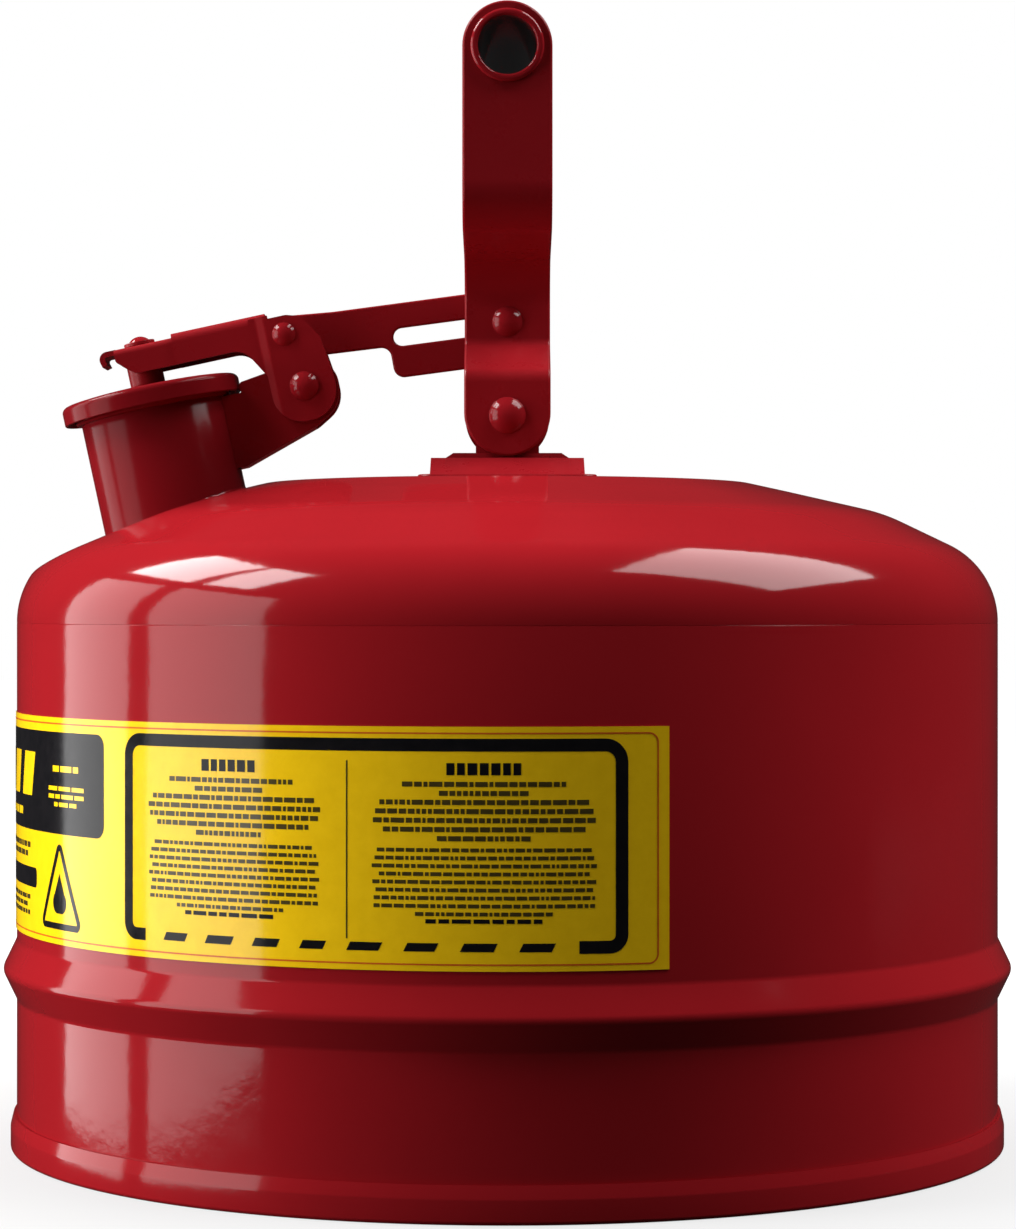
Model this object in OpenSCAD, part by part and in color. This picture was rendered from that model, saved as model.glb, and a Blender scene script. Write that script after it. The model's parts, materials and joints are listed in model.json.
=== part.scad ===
// Safety can for flammable liquids: a round steel can with a domed top, a slanted
// spout with a self-closing lid, and a swinging handle whose slotted link opens the lid.
// Millimetres. +Z is up, the spout leans towards -X, the hand grip lies along Y.
// The origin is the centre of the foot rim, on the ground.

/* [Can] */
// Outer radius of the round wall
body_r = 145; // [120:1:180]
// Thickness of the sheet of the wall, dome and bottom
sheet = 0.9; // [0.7:0.1:1.4]
// Height of the seam between the wall and the dome
seam_z = 153.5; // [135:0.5:190]
// Height of the ridge of the V bead
bead_z = 52.6; // [44:0.2:58]
// How far the V bead stands out of the wall
bead_out = 4.4; // [2:0.1:5]
// Half of the height of the V bead
bead_half = 8.6; // [7:0.2:11]
// Height of the rolled foot rim
foot_h = 10.3; // [8:0.1:14]
// How far the foot rim stands out of the wall
foot_out = 1.8; // [1.6:0.1:3]
// Height of the bottom panel's underside
floor_z = 7.1; // [5:0.1:10]

/* [Dome] */
// Radius of the bend between the wall and the dome
shoulder_r = 25; // [15:1:30]
// Height of the shoulder's corner above the seam
shoulder_rise = 16; // [14:0.5:20]
// Radius of the raised crown at its foot
crown_r = 84; // [78:1:90]
// Height of the flat top above the seam
crown_rise = 41.1; // [36:0.1:46]
// Radius of the flat in the middle of the crown
flat_r = 50; // [48:1:54]
// Height above the seam where the spout's flattened seat meets the wall
seat_low = 12.6; // [10:0.2:15]

/* [Spout] */
// Outer radius of the spout tube
spout_r = 21.9; // [18:0.1:24]
// Wall of the spout tube
spout_wall = 1.2; // [0.9:0.1:2]
// Lean of the spout towards the front, in degrees
spout_tilt = 12.2; // [8:0.2:16]
// Distance of the spout's mouth in front of the can's axis
mouth_x = 105.4; // [98:0.2:110]
// Height of the spout's mouth above the dome's flat top
mouth_rise = 21.2; // [18:0.2:30]
// Length of tube below the mouth
spout_l = 38; // [36:1:48]
// Length of the flame arrester's screen
screen_l = 92; // [50:1:100]
// Gap between the flame arrester's screen and the spout's bore
screen_gap = 5.7; // [4.8:0.1:7]

/* [Lid] */
// How far the lid cap stands out past the spout tube
cap_over = 4.8; // [4.2:0.1:6]
// Thickness of the lid cap's sheet
cap_t = 1; // [0.8:0.1:1.6]
// Height of the lid cap's skirt
skirt_h = 5.9; // [5:0.1:8]
// Thickness of the gasket
gasket_t = 2.6; // [2:0.1:3.5]
// Radius of the lid's stem
stem_r = 2.5; // [2:0.1:3]
// How far pressure can lift the lid
vent_lift = 2; // [1:0.1:2.5]

/* [Lever] */
// Distance of the lever's pivot behind the spout's axis, square to it
pivot_x = 45.9; // [40:0.1:50]
// Height of the lever's pivot along the spout's axis, from the mouth
pivot_h = -1.95; // [-4:0.05:0]
// Distance of the link's pin behind the spout's axis, square to it
pin_x = 43.2; // [38:0.1:48]
// Height of the link's pin along the spout's axis, from the mouth
pin_h = 14.3; // [12:0.1:16]
// Top of the lever's narrow front part, from the mouth
lever_h = 20.5; // [19:0.1:24]
// Thickness of the lever's sheet
lever_t = 1.6; // [1.2:0.1:2]
// Half of the width across the lever's narrow front part
lever_y = 7.6; // [7:0.1:8]
// Depth of the lever's side flanges
lever_depth = 8.2; // [6:0.1:9]
// Half of the width across the bracket
bracket_y = 6.4; // [5.4:0.1:7.6]
// How far the pivot's round seats stand out of the bracket
seat_h = 0.6; // [0.4:0.1:2]
// Thickness of the bracket's plate
bracket_t = 2; // [1.5:0.1:2.5]
// Radius of the lever's pivot rivet
pivot_r = 3; // [2.5:0.1:3.6]
// Radius of the link's pin
pin_r = 2.5; // [2:0.1:2.8]

/* [Link] */
// Thickness of the link
link_t = 3; // [2:0.1:3.2]
// Rise of the slot towards the handle, in degrees
slot_angle = 7.6; // [4:0.2:10]
// Width of the slot
slot_w = 5.4; // [5.2:0.1:6]
// Travel of the handle's rivet in the slot
slot_travel = 32; // [26:0.5:34]
// Bar above the slot
bar_top = 7.4; // [5:0.1:9]
// Bar below the slot
bar_low = 9.3; // [6:0.1:11]

/* [Handle] */
// Height of the handle's pivot above the dome's flat top
handle_rise = 19.7; // [18.6:0.1:22]
// Distance from the handle's pivot up to the rivet in the slot
crank = 28.6; // [26:0.1:30]
// Distance from the handle's pivot up to the grip's axis
grip_rise = 101.7; // [90:0.1:125]
// Width of the straps
strap_w = 25.4; // [20:0.2:27]
// Thickness of the straps
strap_t = 2.5; // [2:0.1:3]
// Outer face of a strap at the pivot, from the middle
strap_low_y = 19; // [18:0.1:22]
// Outer face of a strap at the grip, from the middle
strap_top_y = 60.5; // [50:0.5:70]
// Inner radius of the grip tube
grip_bore = 8.3; // [6:0.1:9]
// Wall of the grip tube
grip_wall = 1.2; // [1:0.1:2]
// Radius of the handle's pivot rivets
hub_r = 4; // [3:0.1:5]
// Radius of the rivet that runs in the slot
slider_r = 2.2; // [1.8:0.1:2.3]

/* [Stand] */
// Width of the stand's ears
ear_w = 18.6; // [16:0.1:22]
// Thickness of the stand's sheet
stand_t = 2.2; // [1.5:0.1:2.5]
// Length of the stand's saddle along X
saddle_l = 44.8; // [40:0.2:48]
// Thickness of the pad under the stand
pad_t = 1.8; // [1:0.1:2.5]

/* [Label] */
// Height of the label's lower edge
label_z = 64.9; // [63:0.1:70]
// Height of the label itself
label_h = 62.7; // [40:0.1:66]
// Half of the angle that the label covers, from the front
label_half = 106.7; // [60:0.1:150]
// Thickness of the label's film
film = 0.25; // [0.1:0.05:0.4]

/* [Hidden] */

RED = "firebrick";
STEEL = "silver";

touch = 0.03;         // gap between surfaces that are fixed together
run = 0.06;           // gap round a pin that turns
slide = 0.15;         // gap between faces that rub
swing = 0.5;          // gap between plates that pass each other
eps = 1;              // overshoot of a cut
arc_step = 9;         // degrees for each step of a rounded corner

skirt_r = body_r - sheet - touch;
top_z = seam_z + crown_rise;
mouth_z = top_z + mouth_rise;
seat_slope = atan((crown_rise - 1.7 - seat_low) / (body_r - crown_r + 6));
hub_z = top_z + handle_rise;
grip_z = hub_z + grip_rise;
bore_r = spout_r - spout_wall;
screen_r = bore_r - screen_gap;
cap_r = spout_r + cap_over;
ear_y = bracket_y + seat_h + swing + lever_t;   // outer face of the lever's ears
strap_mid_y = link_t / 2 + 1 + strap_t;     // outer face of a strap at the link
strap_end_r = strap_w / 2;
strap_end_z = hub_z + 0.8;
stand_y = strap_low_y - strap_t - 0.8;      // outer face of the stand's ears
saddle_z = top_z + pad_t;
gasket_h = slide;                           // underside of the gasket above the rolled lip
lip_h = 3.4;                                // top of the rolled lip above the mouth's datum
cap_under = lip_h + gasket_h + gasket_t;
cap_low = cap_under + cap_t - skirt_h;
cup_h = cap_under + cap_t + 1.1;            // seat of the spring cup on the cap
web_h = lever_h - lever_t;                  // underside of the lever's web

// ---- plane geometry ----

function flat(p) = [p.x, p.y];
function along(a, b) = let (v = flat(b) - flat(a)) v / norm(v);
function leftward(v) = [-v.y, v.x];
function turned(v) = [for (i = [len(v) - 1 : -1 : 0]) v[i]];

// Arc that rounds corner b, whose radius is its third number, between a and c
function corner(a, b, c) =
    let (
        u = along(b, a),
        w = along(b, c),
        half = acos(u * w) / 2,
        m = flat(b) + (u + w) / norm(u + w) * b.z / sin(half),
        p = flat(b) + u * b.z / tan(half) - m,
        q = flat(b) + w * b.z / tan(half) - m,
        start = atan2(p.y, p.x),
        turn = (atan2(q.y, q.x) - start + 540) % 360 - 180,
        n = max(2, ceil(abs(turn) / arc_step)))
    [for (i = [0:n]) let (t = start + turn * i / n) m + b.z * [cos(t), sin(t)]];

// Points of an open path of [x, y, corner radius]
function rounded(path) =
    let (last = len(path) - 1)
    [for (i = [0:last]) each i == 0 || i == last || path[i].z == 0
        ? [flat(path[i])]
        : corner(path[i - 1], path[i], path[i + 1])];

// Points of a closed outline of [x, y, corner radius]
function outline(path) =
    let (n = len(path))
    [for (i = [0:n - 1]) each path[i].z == 0
        ? [flat(path[i])]
        : corner(path[(i + n - 1) % n], path[i], path[(i + 1) % n])];

// The same path, moved to its left by t
function parallel(path, t) =
    let (last = len(path) - 1)
    [for (i = [0:last])
        let (
            d0 = i > 0 ? along(path[i - 1], path[i]) : along(path[0], path[1]),
            d1 = i < last ? along(path[i], path[i + 1]) : d0,
            m = t * (leftward(d0) + leftward(d1)) / (1 + d0 * d1),
            bend = sign(d0.x * d1.y - d0.y * d1.x))
        [path[i].x + m.x, path[i].y + m.y, path[i].z == 0 ? 0 : max(path[i].z - t * bend, 0)]];

// Section of a sheet of thickness t that lies to the left of a path
function section(path, t) = concat(rounded(path), turned(rounded(parallel(path, t))));

// ---- places ----

// The spout's own frame: its axis is Z, and the mouth's datum is the origin
module on_spout()
    translate([-mouth_x, 0, mouth_z]) rotate([0, -spout_tilt, 0]) children();

// Extrudes an outline of x and z through the width from y0 to y1
module across(y0, y1)
    translate([0, y1, 0]) rotate([90, 0, 0]) linear_extrude(y1 - y0) children();

// Extrudes an outline of y and z along X
module lengthwise(l)
    rotate([90, 0, 90]) translate([0, 0, -l / 2]) linear_extrude(l) children();

// A round bar along Y
module axle(r, y0, y1)
    translate([0, y0, 0]) rotate([-90, 0, 0]) cylinder(r = r, h = y1 - y0, $fn = 48);

// A domed rivet head on the plane y = 0, standing towards -Y
module head(r, h) {
    ball = (r * r + h * h) / (2 * h);
    rotate([90, 0, 0]) rotate_extrude($fn = 48) intersection() {
        translate([0, h - ball]) circle(r = ball, $fn = 96);
        square([r, h]);
    }
}

// A rivet along Y: shank, and heads whose undersides are at -y and +y
module rivet(shank, y, head_r, head_h) {
    axle(shank, -y, y);
    translate([0, -y, 0]) head(head_r, head_h);
    translate([0, y, 0]) mirror([0, 1, 0]) head(head_r, head_h);
}

module at_pivot() on_spout() translate([pivot_x, 0, pivot_h]) children();
module at_pin() on_spout() translate([pin_x, 0, pin_h]) children();
module at_hub() translate([0, 0, hub_z]) children();
module at_slider() translate([0, 0, hub_z + crank]) children();

// A round wire swept along points, as one closed tube
module wire(points, r, sides = 8) {
    n = len(points);
    rings = [for (i = [0:n - 1])
        let (
            d = points[min(i + 1, n - 1)] - points[max(i - 1, 0)],
            t = d / norm(d),
            a = abs(t.y) < 0.9 ? [0, 1, 0] : [1, 0, 0],
            u = cross(a, t) / norm(cross(a, t)),
            v = cross(t, u))
        each [for (k = [0:sides - 1])
            points[i] + r * (u * cos(360 * k / sides) + v * sin(360 * k / sides))]];
    sides_f = [for (i = [0:n - 2], k = [0:sides - 1])
        let (j = (k + 1) % sides)
        [i * sides + j, i * sides + k, (i + 1) * sides + k, (i + 1) * sides + j]];
    start = [for (k = [0:sides - 1]) k];
    end = [for (k = [sides - 1:-1:0]) (n - 1) * sides + k];
    polyhedron(rings, concat(sides_f, [start, end]));
}

// ---- can ----

wall_path = [
    [body_r, 1.2, 0],
    [body_r, bead_z - bead_half, 3],
    [body_r + bead_out, bead_z, 3],
    [body_r, bead_z + bead_half, 3],
    [body_r, seam_z, 0]];

module body_shell()
    color(RED) rotate_extrude($fn = 180) polygon(section(wall_path, sheet));

dome_path = [
    [skirt_r, seam_z - 8, 0],
    [skirt_r, seam_z, 0],
    [body_r, seam_z, 0],
    [body_r, seam_z + shoulder_rise, shoulder_r],
    [body_r - 33, seam_z + 32, 50],
    [crown_r, top_z - 2.6, 6],
    [crown_r - 12, top_z + 0.1, 8],
    [flat_r + 8, top_z + 0.4, 12],
    [flat_r, top_z, 10],
    [0, top_z, 0]];

// The solid under the dome's surface, t inside it; the spout's seat is cut flat
module dome_solid(t, low)
    intersection() {
        rotate_extrude($fn = 180) polygon(concat([[0, low]], [[skirt_r - t, low]],
            rounded(parallel(dome_path, t))));
        translate([-crown_r + 6, 0, top_z - 1.7]) rotate([0, -seat_slope, 0])
            translate([-2 * body_r, -2 * body_r, -2 * body_r - t])
            cube([4 * body_r, 4 * body_r, 2 * body_r]);
    }

module top_dome()
    color(RED) difference() {
        dome_solid(0, seam_z - 8);
        dome_solid(sheet, seam_z - 8 - eps);
        on_spout() translate([0, 0, -2 * spout_l]) cylinder(r = spout_r + touch, h = 3 * spout_l);
    }

// The rim's path runs from the panel down, round the wall's edge and up outside it
rim_path = [
    [0, floor_z, 0],
    [body_r - 2 * sheet - touch, floor_z, 2.5],
    [body_r - 2 * sheet - touch, 0, 0.8],
    [body_r + foot_out, 0, 1.2],
    [body_r + foot_out, foot_h - 3.6, 3],
    [body_r + sheet + touch, foot_h, 0]];

module bottom_pan()
    color(RED) rotate_extrude($fn = 180) polygon(section(rim_path, sheet));

module label()
    color("gold") rotate([0, 0, 180 - label_half])
        rotate_extrude(angle = 2 * label_half, $fn = 180)
        translate([body_r + touch, label_z]) square([film, label_h]);

// ---- spout ----

// Half section of the spout tube with its rolled lip
module spout_tube() {
    lip = 1.5;
    color(RED) on_spout() {
        difference() {
            translate([0, 0, -spout_l]) cylinder(r = spout_r, h = spout_l + lip_h - lip, $fn = 96);
            translate([0, 0, -spout_l - eps]) cylinder(r = bore_r, h = spout_l + 9, $fn = 96);
        }
        translate([0, 0, lip_h - lip]) rotate_extrude($fn = 96)
            translate([spout_r + 0.2, 0]) circle(r = lip, $fn = 32);
    }
}

// Lower edge of the bracket's plates: its end at the spout and its end under the pivot
bracket_low = [spout_r + 2, -21.5];
bracket_end = [pivot_x + 1.2, pivot_h - 12.2];

// Outline of the bracket's side plates in the spout's frame
function bracket_outline() = outline([
    [spout_r - 2, cap_low - 1, 0],
    [cap_r + 0.3, cap_low - 1, 0.3],
    [cap_r + 0.3, cap_low + 2, 1],
    [pivot_x - 10, pivot_h + 6.4, 3],
    [pivot_x - 1.9, pivot_h + 10.4, 8],
    [pivot_x + 9.7, pivot_h + 6, 8],
    [pivot_x + 9.7, pivot_h - 7.4, 9],
    [bracket_end.x, bracket_end.y, 5],
    [bracket_low.x, bracket_low.y, 1],
    [spout_r - 2, bracket_low.y, 0]]);

// The lower edge of the bracket is closed by a bent web
module spout_bracket() {
    d = along(bracket_low, bracket_end);
    up = leftward(d) * bracket_t;
    color(RED) on_spout() difference() {
        union() {
            across(-bracket_y, bracket_y) polygon(bracket_outline());
            translate([pivot_x, 0, pivot_h])
                axle(pivot_r + 1.7, -bracket_y - seat_h, bracket_y + seat_h);
        }
        across(-bracket_y + bracket_t, bracket_y - bracket_t) polygon([
            bracket_low + up - 20 * d, bracket_end + up, bracket_end + up - [0, 40],
            bracket_end + [60, -40], bracket_end + [60, 60], bracket_low + [-20, 60]]);
        translate([pivot_x, 0, pivot_h]) axle(pivot_r + touch, -20, 20);
        translate([0, 0, -2 * spout_l]) cylinder(r = spout_r + touch, h = 3 * spout_l, $fn = 96);
    }
}

// The arrester hangs from a flange that sits in the spout's bore
module arrester_flange()
    color(STEEL) on_spout() rotate_extrude($fn = 96) polygon(outline([
        [screen_r + touch, -9, 0], [screen_r + 1.2, -9, 0], [screen_r + 1.2, -3.4, 1],
        [bore_r - touch - 0.8, -3.4, 1], [bore_r - touch - 0.8, -9, 0],
        [bore_r - touch, -9, 0], [bore_r - touch, -2.4, 0.8],
        [screen_r + touch, -2.4, 0]]));

module arrester_screen()
    color(STEEL) on_spout() translate([0, 0, -2.4 - screen_l]) difference() {
        cylinder(r = screen_r, h = screen_l, $fn = 96);
        translate([0, 0, -eps]) cylinder(r = screen_r - 0.7, h = screen_l + 2 * eps, $fn = 96);
    }

module arrester_end_cap() {
    low = -2.4 - screen_l - 1 - touch;
    color(STEEL) on_spout() rotate_extrude($fn = 96) polygon(section([
        [0, low, 0],
        [screen_r + 1 + touch, low, 1],
        [screen_r + 1 + touch, low + 7, 0]], 1));
}

// ---- lid ----

module lid_cap() {
    // Outer surface from the stem's hole over the domed top and down the skirt
    top = [
        [stem_r + touch, cap_under + cap_t + 1, 0],
        [7, cap_under + cap_t + 1, 3],
        [cap_r - 4, cap_under + cap_t, 14],
        [cap_r, cap_under + cap_t - 0.5, 1.8],
        [cap_r, cap_low, 0]];
    color(RED) on_spout() rotate_extrude($fn = 96) polygon(section(top, -cap_t));
}

module lid_gasket()
    color("dimgray") on_spout() translate([0, 0, lip_h + gasket_h]) difference() {
        cylinder(r = cap_r - cap_t - 0.6, h = gasket_t - 0.5, $fn = 96);
        translate([0, 0, -eps]) cylinder(r = bore_r - 2, h = gasket_t + 2 * eps, $fn = 96);
    }

module gasket_retainer()
    color(STEEL) on_spout() difference() {
        rotate_extrude($fn = 96) polygon(section([
            [stem_r + touch, lip_h - 1, 0],
            [bore_r - 4, lip_h - 1, 1.4],
            [bore_r - 2.2, lip_h + gasket_t - 0.6, 0]], 1));
        translate([0, 0, -9]) cylinder(r = stem_r + touch, h = 20, $fn = 48);
    }

// The stem runs from its lower head up through cap, cup and lever to its top head
module lid_stem()
    color(RED) on_spout() {
        top = lever_h + slide + 1.2 + touch;
        translate([0, 0, lip_h - 1 - touch]) cylinder(r = stem_r, h = top - lip_h + 1 + touch, $fn = 48);
        translate([0, 0, lip_h - 1 - touch]) rotate([90, 0, 0]) head(5, 1.8);
        translate([0, 0, top]) rotate([-90, 0, 0]) head(3.2, 1.6);
    }

module stem_washer()
    color(RED) on_spout() translate([0, 0, lever_h + slide]) difference() {
        cylinder(r = 4.6, h = 1.2, $fn = 48);
        translate([0, 0, -eps]) cylinder(r = stem_r + touch, h = 4, $fn = 48);
    }

module spring_cup() {
    rim = web_h - vent_lift - slide;
    color(RED) on_spout() rotate_extrude($fn = 64) polygon(section([
        [stem_r + touch, cup_h - 0.1 + touch, 0],
        [5.2, cup_h - 0.1 + touch, 1],
        [5.2, rim, 0]], 0.7));
}

module vent_spring() {
    coil = 3.6;
    gauge = 0.45;
    turns = 5;
    low = cup_h + 0.7 + gauge;
    high = web_h - gauge - slide;
    color(STEEL) on_spout() wire([for (a = [0:22.5:360 * turns])
        [coil * cos(a), coil * sin(a), low + (high - low) * a / (360 * turns)]], gauge, 6);
}

// ---- lever ----

front_x = -12.8;      // front end of the lever's finger tab
step_x = 10.2;        // where the lever's wider part begins
splay_x = 34.5;       // where the sides spread out to the ears
ear_x = 38;           // where the ears are at their full width
web_end = 38.6;       // rear end of the lever's web
rear_h = lever_h + 1.2;
wide_y = max(lever_y + 0.6, bracket_y + slide + lever_t);

// Channel with a web on top and two side flanges, from x0 to x1
module channel(x0, x1, y, top, low, bend)
    translate([(x0 + x1) / 2, 0, 0]) lengthwise(x1 - x0) polygon(section([
        [y, low, 0], [y, top, bend], [-y, top, bend], [-y, low, 0]], lever_t));

// Side view of the lever's flanges and ears
function ear_outline() = outline([
    [front_x + 5.4, lever_h + 3, 0],
    [front_x + 5.4, lever_h - 3.8, 1.5],
    [front_x + 10.4, lever_h - lever_depth, 3],
    [splay_x - 4, lever_h - lever_depth, 6],
    [pivot_x - 10, pivot_h + 5, 0],
    [pivot_x - 10, pivot_h - 10.4, 9],
    [pivot_x + 9.2, pivot_h - 10.4, 9.2],
    [pivot_x + 9.2, pivot_h + 1, 6],
    [pivot_x + 7.6, pivot_h + 13.4, 3],
    [pivot_x + 3.2, pivot_h + 20.4, 3],
    [pivot_x - 1, pivot_h + 21.7, 3],
    [web_end + 0.8, pivot_h + 21.7, 0],
    [web_end + 0.8, lever_h + 3, 0]]);

// One side of the lever's rear part seen from above: it splays out to the ear
module side_sheet()
    translate([0, 0, pivot_h - 20]) linear_extrude(rear_h - 1 - pivot_h + 20) polygon(section([
        [pivot_x + 20, ear_y, 0],
        [ear_x, ear_y, 2.5],
        [splay_x + 1, wide_y, 2.5],
        [splay_x - 1, wide_y, 0]], lever_t));

module lid_lever() {
    color(RED) on_spout() difference() {
        union() {
            intersection() {
                union() {
                    channel(front_x + 4, step_x + 0.5, lever_y, lever_h, 0, 2);
                    channel(step_x, splay_x - 1, wide_y, rear_h, 0, 2.9);
                    channel(splay_x - 1, web_end, wide_y, rear_h, rear_h - 3.2, 2.9);
                    side_sheet();
                    mirror([0, 1, 0]) side_sheet();
                }
                across(-20, 20) polygon(ear_outline());
            }
            // Finger tab: the web runs on and curls down
            across(-lever_y + 1.2, lever_y - 1.2) polygon(section([
                [front_x + 6, lever_h, 0],
                [front_x, lever_h, 2.4],
                [front_x + 1.2, lever_h - 4.4, 0]], lever_t));
        }
        translate([pivot_x, 0, pivot_h]) axle(pivot_r + run, -20, 20);
        translate([pin_x, 0, pin_h]) axle(pin_r + touch, -20, 20);
        translate([0, 0, web_h - 5]) cylinder(r = stem_r + run, h = 20, $fn = 48);
    }
}

module lever_pivot_pin()
    color(RED) at_pivot() rivet(pivot_r, ear_y + slide, 4.3, 2.2);

module lever_pivot_bush()
    color(STEEL) at_pivot() difference() {
        axle(pivot_r + 0.9, -bracket_y + bracket_t + slide, bracket_y - bracket_t - slide);
        axle(pivot_r + touch, -bracket_y, bracket_y);
    }

// Torsion spring round the bush: one leg on the bracket's web, one under the lever
module lever_spring() {
    gauge = 0.6;
    coil = pivot_r + 1.2 + gauge;
    half = bracket_y - bracket_t - gauge - 0.3;
    leg_low = [-20, -16];
    leg_high = [splay_x - 6 - pivot_x, web_h - 1 - pivot_h];
    start = atan2(leg_low.y, leg_low.x) + acos(coil / norm(leg_low));
    end = atan2(leg_high.y, leg_high.x) - acos(coil / norm(leg_high)) + 4 * 360;
    color(STEEL) at_pivot() wire(concat(
        [[leg_low.x, -half, leg_low.y]],
        [for (a = [start:20:end]) [
            coil * cos(a), -half + 2 * half * (a - start) / (end - start), coil * sin(a)]],
        [[leg_high.x, half, leg_high.y]]), gauge, 6);
}

module link_pin()
    color(RED) at_pin() rivet(pin_r, ear_y + touch, 3.5, 1.7);

module link_spacers()
    color(STEEL) at_pin() for (s = [-1, 1]) scale([1, s, 1]) difference() {
        axle(pin_r + 1.6, link_t / 2 + slide, ear_y - lever_t - touch);
        axle(pin_r + touch, 0, 20);
    }

// ---- link ----

// The slot's frame: origin at the handle's rivet, X along the slot away from the lever
module on_slot() at_slider() rotate([0, -slot_angle, 0]) children();

// The link's pin, seen from the slot's frame
pin_world = [-mouth_x + pin_x * cos(spout_tilt) - pin_h * sin(spout_tilt),
    mouth_z + pin_x * sin(spout_tilt) + pin_h * cos(spout_tilt)] - [0, hub_z + crank];
pin_u = pin_world.x * cos(slot_angle) + pin_world.y * sin(slot_angle);
pin_v = -pin_world.x * sin(slot_angle) + pin_world.y * cos(slot_angle);
slot_end = 0.4;       // play between the rivet and the slot's rear end
eye_r = 6;            // end of the link round its pin

module slotted_link() {
    back = slot_end + slot_w / 2 + 6.8;
    front = slot_end - slot_travel - slot_w / 2 - 1;
    low = -slot_w / 2 - bar_low;
    top = slot_w / 2 + bar_top;
    color(RED) on_slot() difference() {
        union() {
            across(-link_t / 2, link_t / 2) polygon(outline([
                [pin_u, pin_v - eye_r, 0],
                [pin_u + 11, -2.2, 6],
                [front - 0.5, -2.4, 3],
                [front, low, 3.2],
                [back, low, 8],
                [back, top, 8],
                [pin_u + 15, top, 20],
                [pin_u, pin_v + eye_r, 0]]));
            translate([pin_u, 0, pin_v]) axle(eye_r, -link_t / 2, link_t / 2);
        }
        translate([pin_u, 0, pin_v]) axle(pin_r + run, -link_t, link_t);
        translate([slot_end, 0, 0]) axle(slot_w / 2, -link_t, link_t);
        translate([slot_end - slot_travel, 0, 0]) axle(slot_w / 2, -link_t, link_t);
        translate([slot_end - slot_travel, -link_t, -slot_w / 2])
            cube([slot_travel, 2 * link_t, slot_w]);
    }
}

// ---- handle ----

// Outer face of the strap: out to the stand below, in to the link, out to the grip
strap_path = [
    [strap_low_y, strap_end_z - strap_end_r - eps, 0],
    [strap_low_y, hub_z + 12.4, 5],
    [strap_mid_y, hub_z + 22.3, 3],
    [strap_mid_y, hub_z + 44.6, 13],
    [strap_top_y, hub_z + 51.6, 14],
    [strap_top_y, grip_z + strap_end_r + eps, 0]];

module strap()
    difference() {
        intersection() {
            lengthwise(strap_w) polygon(section(strap_path, strap_t));
            union() {
                translate([0, 0, strap_end_z]) axle(strap_end_r, 0, 2 * strap_top_y);
                translate([0, 0, grip_z]) axle(strap_end_r, 0, 2 * strap_top_y);
                translate([-strap_w / 2, 0, strap_end_z])
                    cube([strap_w, 2 * strap_top_y, grip_z - strap_end_z]);
            }
        }
        at_hub() axle(hub_r + run, 0, strap_low_y + 5);
        at_slider() axle(slider_r + touch, 0, strap_mid_y + 5);
        translate([0, 0, grip_z]) axle(grip_bore + grip_wall + touch, 0, 2 * strap_top_y);
    }

module handle_strap_near() color(RED) mirror([0, 1, 0]) strap();
module handle_strap_far() color(RED) strap();

// Tube with shoulders inside the straps and ends rolled over outside them
module grip_tube() {
    inner = strap_top_y - strap_t - touch;
    rim = strap_top_y + touch;
    neck = grip_bore + grip_wall;
    half = [
        [grip_bore, rim + 1.7, 0.7], [neck + 0.9, rim + 1.7, 1.1], [neck + 0.9, rim, 0],
        [neck, rim, 0], [neck, inner, 0], [neck + 1.6, inner, 0.8]];
    tail = [for (p = turned(half)) [p.x, -p.y, p.z]];
    color(RED) translate([0, 0, grip_z]) rotate([90, 0, 0]) rotate_extrude($fn = 96)
        polygon(outline(concat(half, tail)));
}

module slot_rivet()
    color(RED) at_slider() rivet(slider_r, strap_mid_y + touch, 4.5, 2.1);

module slot_bushes()
    color(STEEL) at_slider() for (s = [-1, 1]) scale([1, s, 1]) difference() {
        axle(6, link_t / 2 + slide, strap_mid_y - strap_t - touch);
        axle(slider_r + touch, 0, 20);
    }

// ---- stand ----

slope_y = stand_y + 4.3;    // upper end of the saddle's slope
foot_y = slope_y + 14;      // half of the saddle's width
tier_h = 5.4;               // height of the saddle at its ends
tier_top = saddle_z + 7;    // top of the saddle's raised middle
tier_l = saddle_l / 2 - 4.1;    // half of the length of the raised middle at its foot

// Bent sheet over the pad, from its half path in y and z
module saddle(path, l)
    lengthwise(l) polygon(section(
        concat(path, [for (p = turned(path)) [-p.x, p.y, p.z]]), stand_t));

module handle_stand() {
    color(RED) difference() {
        union() {
            saddle([[foot_y, saddle_z, 0], [slope_y, saddle_z + tier_h, 2]], saddle_l);
            intersection() {
                saddle([
                    [foot_y, saddle_z, 0],
                    [slope_y, saddle_z + tier_h, 0],
                    [stand_y + 0.6, saddle_z + tier_h, 0],
                    [stand_y, tier_top, 0]], saddle_l);
                across(-foot_y, foot_y) polygon([
                    [-tier_l, saddle_z - stand_t], [tier_l, saddle_z - stand_t],
                    [tier_l, saddle_z + tier_h], [tier_l - 2.4, tier_top],
                    [2.4 - tier_l, tier_top], [-tier_l, saddle_z + tier_h]]);
            }
            for (s = [-1, 1]) scale([1, s, 1]) intersection() {
                translate([-ear_w / 2, stand_y - stand_t, saddle_z + 4])
                    cube([ear_w, stand_t, 60]);
                union() {
                    translate([-ear_w / 2, 0, 0]) cube([ear_w, 40, hub_z]);
                    at_hub() axle(ear_w / 2, 0, 40);
                }
            }
        }
        at_hub() axle(hub_r + touch, -40, 40);
        // The saddle's feet are cut level with the pad
        translate([-saddle_l, -2 * foot_y, top_z - 20 + pad_t + touch])
            cube([2 * saddle_l, 4 * foot_y, 20]);
    }
}

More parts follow.
